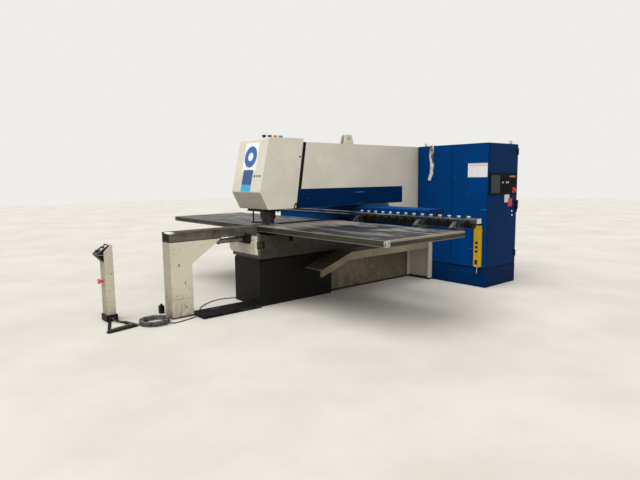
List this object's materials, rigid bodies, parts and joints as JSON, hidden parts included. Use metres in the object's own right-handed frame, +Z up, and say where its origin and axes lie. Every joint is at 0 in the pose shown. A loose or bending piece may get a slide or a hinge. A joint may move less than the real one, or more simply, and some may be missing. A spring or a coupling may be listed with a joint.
{
  "type": "cnc c-frame punch press",
  "caption": "Sheet punching machine: a C-frame with a hooded head, a sliding table with a cross rail for tools and clamps, a blue control cabinet and an operator post.",
  "frame": {"origin": "on the floor under the punch axis", "axes": "+Z up, +Y from the operator's side into the throat, +X to the operator's right"},
  "size_m": [4.405, 5.3273, 2.1057],
  "materials": {
    "frame_paint": "satin beige machine enamel, lightly soiled",
    "hood_paint": "satin beige machine enamel",
    "base_paint": "beige enamel, scuffed and dirty",
    "cast_paint": "off-white paint on a casting, chipped",
    "blue_paint": "deep blue semi-gloss enamel",
    "cover_black": "black paint, dusty",
    "console_black": "dark matte panel",
    "worn_steel": "worn table steel with streaks",
    "dark_steel": "oiled dark steel",
    "ground_steel": "ground steel",
    "rail_aluminium": "extruded aluminium",
    "seal_rubber": "matte rubber",
    "duct_black": "dark steel duct cover, dusty",
    "cable_sheath": "cable sheath",
    "knob_white": "white moulded plastic",
    "cap_plastic": "moulded caps, blue and orange",
    "yellow_paint": "yellow signal paint",
    "button_blue": "blue moulded plastic",
    "stop_red": "red moulded plastic",
    "pedal_green": "green paint worn to black"
  },
  "bodies": {
    "frame": {"c_frame": "frame_paint", "base_frame": "base_paint", "front_cover": "cover_black", "nose_casting": "cast_paint", "bridge_beam": "worn_steel", "bridge_leg": "base_paint", "bridge_tie": "dark_steel", "side_panel_right": "blue_paint", "side_panel_left": "blue_paint", "hood_seal": "seal_rubber", "lifting_lug": "frame_paint", "die_block": "dark_steel", "center_strip": "worn_steel", "y_rails": "ground_steel", "head_plate": "cover_black", "ram_cylinder": "dark_steel", "turning_drive": "cover_black", "cabinet_body": "blue_paint", "cabinet_plinth": "blue_paint", "front_panel_left": "blue_paint", "front_panel_right": "blue_paint", "cabinet_eyes": "ground_steel", "light_guard": "yellow_paint", "floor_duct": "duct_black", "post": "base_paint", "post_box": "cover_black", "post_foot": "cover_black", "cable_box": "cover_black", "cable_lead": "cable_sheath", "cable_coil": "cable_sheath", "cable_run": "cable_sheath", "side_cable": "cable_sheath"},
    "y_carriage": {"cross_beam": "blue_paint", "table_left": "worn_steel", "table_right": "worn_steel", "table_arms": "dark_steel", "y_runners": "dark_steel", "x_guides": "ground_steel"},
    "x_carriage": {"x_rail": "rail_aluminium", "station_knobs": "knob_white", "tool_cassettes": "cover_black", "clamp_bodies": "dark_steel"},
    "jaw_1": {"clamp_jaw_1": "ground_steel"},
    "jaw_2": {"clamp_jaw_2": "ground_steel"},
    "jaw_3": {"clamp_jaw_3": "ground_steel"},
    "hood_body": {"hood": "hood_paint", "hood_caps": "cap_plastic"},
    "lock": {"hood_lock": "cover_black"},
    "ram_body": {"ram": "ground_steel"},
    "holder": {"tool_holder": "dark_steel"},
    "die_turn": {"die_holder": "ground_steel"},
    "stripper_body": {"stripper": "dark_steel"},
    "door": {"cabinet_door": "blue_paint", "console": "console_black"},
    "handle": {"door_handle": "cover_black"},
    "console_stop_body": {"console_stop": "stop_red"},
    "pedal": {"foot_pedal": "pedal_green"},
    "post_stop_body": {"post_stop": "stop_red"},
    "button": {"post_button": "knob_white"},
    "button_blue": {"post_button_blue": "button_blue"}
  },
  "joints": [
    {"name": "y_travel", "type": "slide", "parent": "frame", "child": "y_carriage", "axis": [0, 1, 0], "range_m": [-1.07, 0.21]},
    {"name": "x_travel", "type": "slide", "parent": "y_carriage", "child": "x_carriage", "axis": [1, 0, 0], "range_m": [-2.15, 0]},
    {"name": "clamp_1", "type": "hinge", "parent": "x_carriage", "child": "jaw_1", "pos_m": [0, 1.145, 0.994], "axis": [-1, 0, 0], "range_deg": [0, 15]},
    {"name": "clamp_2", "type": "hinge", "parent": "x_carriage", "child": "jaw_2", "pos_m": [0, 1.145, 0.994], "axis": [-1, 0, 0], "range_deg": [0, 15]},
    {"name": "clamp_3", "type": "hinge", "parent": "x_carriage", "child": "jaw_3", "pos_m": [0, 1.145, 0.994], "axis": [-1, 0, 0], "range_deg": [0, 15]},
    {"name": "ram_stroke", "type": "slide", "parent": "frame", "child": "ram_body", "axis": [0, 0, 1], "range_m": [0, 0.028]},
    {"name": "tool_turn", "type": "hinge", "parent": "ram_body", "child": "holder", "pos_m": [0, 0, 1.06], "axis": [0, 0, 1], "continuous": true},
    {"name": "die_turn_joint", "type": "hinge", "parent": "frame", "child": "die_turn", "pos_m": [0, 0, 0.91], "axis": [0, 0, 1], "continuous": true},
    {"name": "stripper_lift", "type": "slide", "parent": "frame", "child": "stripper_body", "axis": [0, 0, 1], "range_m": [0, 0.028]},
    {"name": "hood_swing", "type": "hinge", "parent": "frame", "child": "hood_body", "pos_m": [-0.3125, 0.204, 1.15], "axis": [0, -0.1561, -0.9877], "range_deg": [0, 100]},
    {"name": "hood_key", "type": "hinge", "parent": "hood_body", "child": "lock", "pos_m": [0.31, 0.276, 1.776], "axis": [-1, 0, 0], "range_deg": [0, 90]},
    {"name": "cabinet_door_swing", "type": "hinge", "parent": "frame", "child": "door", "pos_m": [1.494, 2.5415, 1.1], "axis": [0, 0, -1], "range_deg": [0, 115]},
    {"name": "door_handle_turn", "type": "hinge", "parent": "door", "child": "handle", "pos_m": [1.51, 3.222, 1.15], "axis": [-1, 0, 0], "range_deg": [0, 90]},
    {"name": "console_stop_press", "type": "slide", "parent": "door", "child": "console_stop_body", "axis": [1, 0, 0], "range_m": [-0.006, 0]},
    {"name": "pedal_press", "type": "hinge", "parent": "frame", "child": "pedal", "pos_m": [0.06396, -1.75017, 0.0193], "axis": [0.9819, 0.1896, 0], "range_deg": [0, 2.3], "stiffness_Nm_per_rad": 40, "springref_deg": -3.44},
    {"name": "post_stop_press", "type": "slide", "parent": "frame", "child": "post_stop_body", "axis": [0, 1, 0], "range_m": [0, 0.006]},
    {"name": "post_button_press", "type": "slide", "parent": "frame", "child": "button", "axis": [0, -0.5806, 0.8142], "range_m": [-0.004, 0], "stiffness_N_per_m": 500, "springref_m": 0.002},
    {"name": "post_button_blue_press", "type": "slide", "parent": "frame", "child": "button_blue", "axis": [0, -0.5806, 0.8142], "range_m": [-0.004, 0], "stiffness_N_per_m": 500, "springref_m": 0.002}
  ],
  "couplings": [
    {"joint": "clamp_2", "follows": "clamp_1", "ratio": 1},
    {"joint": "clamp_3", "follows": "clamp_1", "ratio": 1},
    {"joint": "die_turn_joint", "follows": "tool_turn", "ratio": 1},
    {"joint": "stripper_lift", "follows": "ram_stroke", "ratio": 1}
  ]
}
